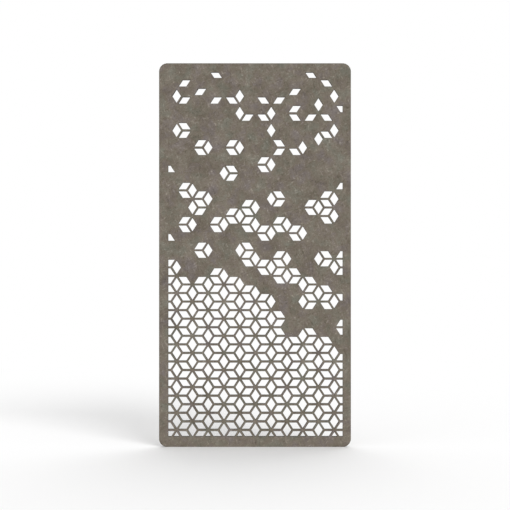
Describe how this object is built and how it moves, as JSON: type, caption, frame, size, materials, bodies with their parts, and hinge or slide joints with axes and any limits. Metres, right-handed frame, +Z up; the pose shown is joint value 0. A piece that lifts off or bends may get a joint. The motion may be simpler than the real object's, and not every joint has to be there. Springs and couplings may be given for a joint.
{
  "type": "hanging acoustic screen",
  "caption": "Tall flat felt screen with round corners, cut through with a rhombus lattice that thins out upwards, hung by sliding nuts in a rail in its top edge.",
  "frame": {"origin": "middle of the panel's top edge, on the plane between the two felt boards", "axes": "+Z up, +X to the right seen from the front, front face towards -Y"},
  "size_m": [1.2, 0.024, 2.4],
  "materials": {
    "felt": "matte",
    "rail_aluminium": "satin",
    "cap_plastic": "matte",
    "dowel_beech": "matte",
    "nut_steel": "satin",
    "spring_steel": "satin"
  },
  "bodies": {
    "panel": {"front_felt_board": "felt", "rear_felt_board": "felt", "suspension_rail": "rail_aluminium", "left_end_cap": "cap_plastic", "right_end_cap": "cap_plastic", "keel_dowels": "dowel_beech"},
    "left_nut": {"left_hanger_nut": "nut_steel", "left_nut_spring": "spring_steel"},
    "right_nut": {"right_hanger_nut": "nut_steel", "right_nut_spring": "spring_steel"}
  },
  "joints": [
    {"name": "left_nut_slide", "type": "slide", "parent": "panel", "child": "left_nut", "axis": [1, 0, 0], "range_m": [-0.104, 0.384]},
    {"name": "right_nut_slide", "type": "slide", "parent": "panel", "child": "right_nut", "axis": [1, 0, 0], "range_m": [-0.384, 0.104]}
  ]
}
